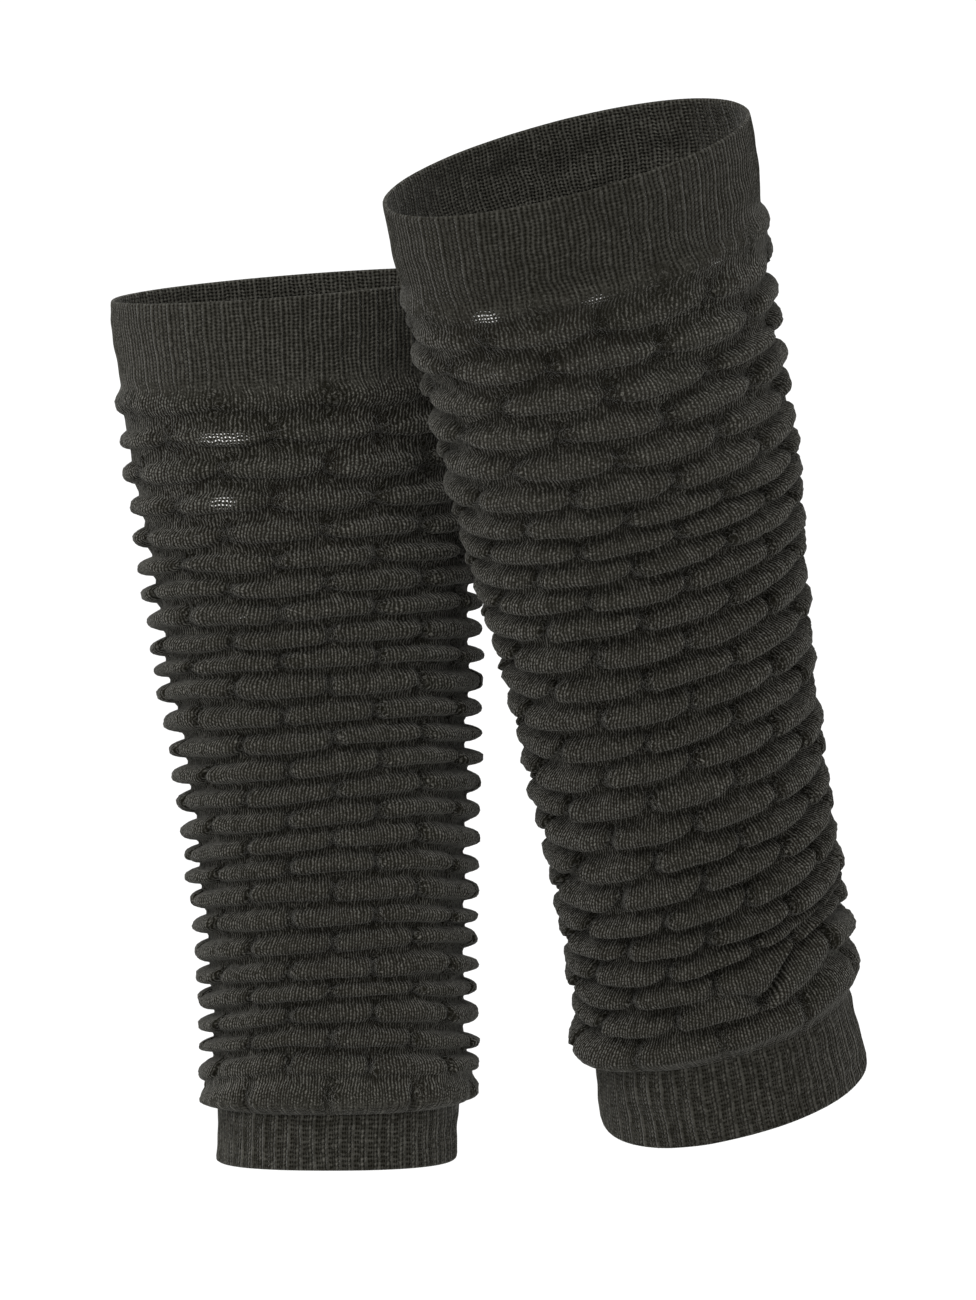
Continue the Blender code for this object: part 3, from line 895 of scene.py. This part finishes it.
def noise(tree, vector, scale, detail=2.0, roughness=0.5):
    node = tree.nodes.new("ShaderNodeTexNoise")
    node.inputs["Scale"].default_value = scale
    node.inputs["Detail"].default_value = detail
    node.inputs["Roughness"].default_value = roughness
    tree.links.new(vector, node.inputs["Vector"])
    return Value(tree, node.outputs["Fac"])


def random_cell(tree, u, v, seed):
    join = tree.nodes.new("ShaderNodeCombineXYZ")
    tree.links.new(u.socket, join.inputs[0])
    tree.links.new(v.socket, join.inputs[1])
    join.inputs[2].default_value = seed
    node = tree.nodes.new("ShaderNodeTexWhiteNoise")
    node.noise_dimensions = "3D"
    tree.links.new(join.outputs[0], node.inputs["Vector"])
    return Value(tree, node.outputs["Value"])


def mix_colour(tree, factor, a, b):
    node = tree.nodes.new("ShaderNodeMix")
    node.data_type = "RGBA"
    tree.links.new(factor.socket, node.inputs["Factor"])
    for name, value in (("A", a), ("B", b)):
        socket = [i for i in node.inputs if i.name == name and i.type == "RGBA"][0]
        if isinstance(value, tuple):
            socket.default_value = value
        else:
            tree.links.new(value, socket)
    return [o for o in node.outputs if o.type == "RGBA"][0]


BLACK_YARN = (0.0038, 0.0033, 0.0014, 1.0)
BRIGHT_YARN = (0.1160, 0.1125, 0.0975, 1.0)
BRIGHT = 3.2            # BRIGHT_YARN is this many times the yarn's usual tone
# the pale colour painted between the stitches, painted light that shows through
PAINTED_SEE_THROUGH_COLOUR = (0.70, 0.70, 0.68, 1.0)
RIB_LEVEL = 0.80        # how light the two patterns are
FOLD_LEVEL = 1.28


def spread(value, amount):
    """A noise's unevenness about 1, made stronger."""
    return ((value - 0.5) * amount + 1.0).math("MAXIMUM", 0.12)


# The dark columns between the ribs: place in the repeat of four, width, how dark the whole column
# is and how dark its holes are, in the top cuffs and then in the bottom ones.
DARK_COLUMNS = (
    ((0.58, 0.30, 0.84, 0.42), (0.96, 0.29, 0.46, 1.02)),
    ((1.57, 0.29, 0.74, 0.50), (1.72, 0.30, 0.46, 0.96)),
    ((-1.48, 0.30, 0.80, 0.44), (-1.56, 0.24, 0.60, 0.50)),
    ((-0.52, 0.29, 0.72, 0.52), (-0.52, 0.25, 0.78, 0.52)),
)


def rib_pattern(tree, u, v, low):
    """The ribs, four columns to a repeat: one plain bright line, then columns parted by dark
    holes, one hole for each course, the deepest beside the bright line."""
    number = (u + 0.5).floor()
    lane = random_cell(tree, blend(low, u.floor(), (u / REPEAT + 0.5).floor()), number * 0.0, 9.0) - 0.5
    down = (v + lane * 0.45).fract() - 0.5
    repeat = ((u / REPEAT + 0.5).fract() - 0.5) * REPEAT     # 0 on the bright line
    course = down.bell(0.27)
    shade, holes = None, None
    for top_values, low_values in DARK_COLUMNS:
        centre, width, column_dark, hole_dark = (low * (b - a) + a for a, b in zip(top_values, low_values))
        gap = (repeat - centre).bell(width)
        dark, hole = gap * (course * hole_dark + column_dark), gap * course
        shade = dark if shade is None else shade + dark
        holes = hole if holes is None else holes + hole
    strong = repeat.bell(0.25)
    slanting = (repeat + 1.02).bell(0.40)
    strokes = ((v + (repeat + 1.02) * 0.45) * math.tau).cos()
    cell = random_cell(tree, number, (v + 0.5).floor(), 3.0)
    tone = (low * 0.13 + 1.33 - shade * (low * 0.12 + 1.08)).math("MAXIMUM", 0.03)
    tone = tone + strong * (low * 0.16 + 0.12)
    tone = tone + slanting * (strokes * (low * 0.38 + 0.26) + 0.08 + low * 0.14)
    tone = tone * (cell * (low * 0.30 + 0.60) + 0.70 - low * 0.15) * (1.0 - low * 0.20) * RIB_LEVEL
    high = strong * 0.5 - holes * 0.8 - shade * 0.3 + slanting * strokes * 0.25 + cell * 0.15
    return tone, high, holes


def fold_pattern(tree, u, v, fold, knot, early, soft):
    """The folds: columns of short bright strokes, each a little out of line. They run on as long
    lines down in the valleys, and lie closer and more evenly along a puff's crest. In the first
    rows the valleys are wide and shallow, drawn darker and their crests lighter; lower down,
    painted light lifts the valleys' colour a little against their shade. Where it is
    soft, the strokes stand out less."""
    number, across = (u + 0.5).floor(), (u + 0.5).fract() - 0.5
    lane = random_cell(tree, number, number * 0.0, 5.0)
    run = v + lane * 7.0
    piece, down = run.floor(), run.fract() - 0.5
    cell = random_cell(tree, number, piece, 21.0)
    slant = random_cell(tree, number, piece, 33.0) - 0.5
    side = across + down * slant * (knot * 0.8 + 0.6)
    crest = ((fold - 0.55) * 2.4).clamp() * (1.0 - knot)
    ends = 1.0 - (0.5 - down.abs()).bell(0.17) * (0.22 + (fold * 1.6).clamp() * 0.55)
    stroke = side.bell(0.22) * ends
    light = stroke * (cell * (2.00 - crest * 0.65) + 0.50 + crest * 0.32)
    light = light * (1.0 - soft) + soft * 0.42 + 0.05 + crest * 0.05
    # painted light: lower down the valleys' colour is lifted against their shade; in the first rows the valleys
    # are darker and the crests lighter
    tone = light * (1.20 - fold * 0.14 + early * (fold * 0.60 - 0.40))
    # painted shade: darker colour at the knots, in the notches between puffs, on the valley floors under them
    # and at the last fold's gathered edge
    tone = tone * (1.08 - knot * (early * 0.14 + 0.52 - fold * 0.24)) * FOLD_LEVEL
    high = stroke * (cell * 0.5 + 0.6)
    holes = (0.5 - across.abs()).bell(0.22) * (v.fract() - 0.5).bell(0.22)
    return tone, high, holes


def knit_material(name):
    material = bpy.data.materials.new(name)
    material.use_nodes = True
    tree = material.node_tree
    shader = tree.nodes["Principled BSDF"]
    stitches = tree.nodes.new("ShaderNodeUVMap")
    stitches.uv_map = "stitches"
    split = tree.nodes.new("ShaderNodeSeparateXYZ")
    tree.links.new(stitches.outputs["UV"], split.inputs[0])
    u, v = Value(tree, split.outputs[0]), Value(tree, split.outputs[1])
    place = tree.nodes.new("ShaderNodeTexCoord").outputs["Object"]

    def attribute(key):
        node = tree.nodes.new("ShaderNodeAttribute")
        node.attribute_name = key
        return Value(tree, node.outputs["Fac"])

    fold, thin, inside = attribute("fold"), attribute("thin"), attribute("side")
    rib, knot, low, early = (attribute(key) for key in ("rib", "knot", "low", "early"))
    sway = noise(tree, place, 230.0, 1.0) - 0.5
    swell = noise(tree, place, 310.0, 2.0) - 0.5
    jitter = noise(tree, place, 850.0, 1.0) - 0.5
    fibre = noise(tree, place, 2500.0, 2.0, 0.7)
    clump = noise(tree, place, 1250.0, 1.0, 0.6)
    cloud = noise(tree, place, 60.0, 3.0, 0.55)

    rib_tone, rib_high, rib_holes = rib_pattern(
        tree,
        u + sway * (low * 0.1 + 0.40) + jitter * (low * 0.10 + 0.24),
        v + swell * 0.6 + jitter * (low * 0.10 + 0.25),
        low,
    )
    # on the folds the stitches are less even, and tangled where a puff begins
    fold_tone, fold_high, fold_holes = fold_pattern(
        tree,
        u * (FINE_WALES / WALES) + sway * (knot * 2.8 + 0.9) + jitter * (knot * 1.6 + 0.5),
        v + swell * (knot * 2.4 + 1.4) + jitter * 0.6,
        fold,
        knot,
        early,
        attribute("soft"),
    )
    tone = blend(rib, fold_tone, rib_tone)
    tone = tone * ((clump - 0.5) * (2.0 - rib * 1.0) + 1.0).math("MAXIMUM", 0.12)
    tone = tone * spread(fibre, 1.8) * spread(cloud, 0.5)
    # painted light: the inner faces are painted 40% lighter against their shade, and the painted light and
    # shade set by place round each leg is applied
    tone = tone * (inside * 0.40 + 1.0) * attribute("pale")
    # painted sheen: the colour is painted lighter where the cloth turns away, as the nap catches
    # the light, less on the inner faces
    layer = tree.nodes.new("ShaderNodeLayerWeight")
    layer.inputs["Blend"].default_value = 0.5
    tone = tone * ((Value(tree, layer.outputs["Facing"]) ** 3.0) * (0.80 - inside * 0.50) + 0.98)
    base = mix_colour(tree, (tone / BRIGHT).clamp(), BLACK_YARN, BRIGHT_YARN)
    # painted light: the pale colour is painted into the stitch holes at the see-through places
    painted_see_through_share = (thin * blend(rib, fold_holes, rib_holes) * (clump * 1.6 + 1.8) - 0.50).clamp()
    base = mix_colour(tree, painted_see_through_share, base, PAINTED_SEE_THROUGH_COLOUR)
    tree.links.new(base, shader.inputs["Base Color"])
    rough = (tone * -0.05 + 0.95).clamp()
    tree.links.new(rough.socket, shader.inputs["Roughness"])
    height = blend(rib, fold_high, rib_high) + fibre * 0.25 + clump * (knot * 0.9 + 0.35)
    bump = tree.nodes.new("ShaderNodeBump")
    bump.inputs["Strength"].default_value = 1.0
    bump.inputs["Distance"].default_value = 0.0006
    tree.links.new(height.socket, bump.inputs["Height"])
    tree.links.new(bump.outputs[0], shader.inputs["Normal"])
    shader.inputs["Metallic"].default_value = 0.0
    shader.inputs["Specular IOR Level"].default_value = 0.05
    shader.inputs["Sheen Weight"].default_value = 0.14
    shader.inputs["Sheen Roughness"].default_value = 0.20
    shader.inputs["Sheen Tint"].default_value = (0.90, 0.89, 0.84, 1.0)
    material.diffuse_color = (0.03, 0.029, 0.024, 1.0)
    return material


# ---------------------------------------------------------------- the pair
def make_leg(name, sections, folds, sides, thin, seed, deep, flow):
    rng = np.random.default_rng(seed)
    count = len(folds)
    return {
        "name": name,
        "sections": sections,
        "folds": folds,
        "sides": sides,
        "thin": thin,
        "size": 380.0,
        "deep": deep,
        "shallow": {25: 0.42} if name == "left" else {0: 0.45, 25: 0.80},
        "last_notch": 0.85 if name == "left" else 0.5,
        "hang": 0.78 if name == "left" else 1.0,
        "roll": 0.9 if name == "left" else 0.45,
        "rib_fade": (27.0, 10.0) if name == "left" else (31.0, 12.0),
        "soft": 0.0 if name == "left" else 0.16,
        "swirl": () if name == "left" else RIGHT_SWIRL,
        "merge": LEFT_MERGE if name == "left" else RIGHT_MERGE,
        "stretch": (0.045, 0.045) if name == "left" else (0.115, 0.0),
        "gather": {25: 3.2} if name == "left" else {},
        "overhang": (0.98, 0.0) if name == "left" else (0.53, 0.85),
        "lift_from": 0.84 if name == "left" else 0.74,
        "flow": flow,
        "wander": Waves(seed + 1, 3.0, 70.0),
        "fine_wander": Waves(seed + 2, 11.0, 24.0),
        "cloth": Waves(seed + 3, 9.0, 22.0),
        "fine": Waves(seed + 4, 44.0, 6.0, 40),
        "lumps": Waves(seed + 6, 70.0, 3.0, 40),
        "puffs": {
            "rise": rng.uniform(0.90, 1.06, (count, PUFFS)),
            "shift": rng.normal(0, 0.22, (count, PUFFS)),
            "tilt": rng.normal(0, 1.0, (count, PUFFS)),
            "lift": rng.normal(0, 1.0, (count, PUFFS)),
            "slow": rng.uniform(-1.0, 1.0, (count, PUFFS)),
            "wave": Waves(seed + 5, 5.0, 60.0),
        },
    }


def right_flow(turn):
    """The right leg's last fold runs smoothly into the cuff, but hangs over it on the left."""
    d = (turn - 0.56 + 0.5) % 1.0 - 0.5
    return 1 - bell(d, 0.10)


def left_flow(turn):
    """The left leg's last fold slopes in to the cuff, a little more steeply at its two sides."""
    d = (turn - 0.75 + 0.5) % 1.0 - 0.5
    return 0.30 + 0.12 * bell(d, 0.15)


def main():
    legs = (
        make_leg("left", LEFT_SECTIONS, LEFT_FOLDS, LEFT_SIDES, LEFT_PAINTED_SEE_THROUGH, SEED, 1.15, left_flow),
        make_leg("right", RIGHT_SECTIONS, RIGHT_FOLDS, RIGHT_SIDES, RIGHT_PAINTED_SEE_THROUGH, SEED + 100, 1.25, right_flow),
    )
    rib = knit_material("rib_cuff_knit_look")
    tuck = knit_material("tuck_ridge_knit_look")
    for leg in legs:
        side = leg["name"]
        pieces = (
            (side + "_top_cuff", cuff(leg, side + "_top_cuff", True), rib, "rib_cuff_knit", "stretched"),
            (side + "_body", body(leg, side + "_body"), tuck, "tuck_ridge_knit", "gathered"),
            (side + "_bottom_cuff", cuff(leg, side + "_bottom_cuff", False), rib, "rib_cuff_knit", "stretched"),
        )
        for node, piece, material, slot, held in pieces:
            piece.data.materials.append(material)
            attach(piece, "root")
            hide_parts(node)


def stage():
    floor = bpy.data.meshes.new("floor")
    floor.from_pydata([(-60, -60, 0), (60, -60, 0), (60, 60, 0), (-60, 60, 0)], [], [(0, 1, 2, 3)])
    obj = bpy.data.objects.new("floor", floor)
    obj.location = (0, 0, -0.80)
    bpy.context.scene.collection.objects.link(obj)
    material = bpy.data.materials.new("floor_white")
    material.use_nodes = True
    shader = material.node_tree.nodes["Principled BSDF"]
    shader.inputs["Base Color"].default_value = (0.80, 0.80, 0.80, 1)
    shader.inputs["Roughness"].default_value = 0.9
    shader.inputs["Specular IOR Level"].default_value = 0.1
    floor.materials.append(material)

    world = bpy.data.worlds.new("studio")
    world.use_nodes = True
    world.node_tree.nodes["Background"].inputs["Color"].default_value = (1, 1, 1, 1)
    world.node_tree.nodes["Background"].inputs["Strength"].default_value = 0.70
    bpy.context.scene.world = world

    def sun(name, strength, angle, rotation):
        data = bpy.data.lights.new(name, "SUN")
        data.energy, data.angle = strength, math.radians(angle)
        light = bpy.data.objects.new(name, data)
        light.rotation_euler = [math.radians(a) for a in rotation]
        bpy.context.scene.collection.objects.link(light)

    sun("key", 2.5, 50, (46, 0, -26))
    sun("fill", 0.6, 70, (70, 0, 6))
    sun("side", 0.35, 60, (66, 0, 100))

    camera_data = bpy.data.cameras.new("camera")
    camera_data.lens, camera_data.sensor_width, camera_data.sensor_fit = 203.4, 36.0, "AUTO"
    camera_data.clip_start, camera_data.clip_end = 0.1, 300
    camera = bpy.data.objects.new("camera", camera_data)
    camera.location = (0.022, -2.6725, 0.2092)
    camera.rotation_euler = (math.radians(82.2), 0, 0)
    bpy.context.scene.collection.objects.link(camera)
    bpy.context.scene.camera = camera
    view = bpy.context.scene.view_settings
    view.view_transform, view.look = "Standard", "None"
    view.exposure, view.gamma = 0.0, 1.0


main()
stage()
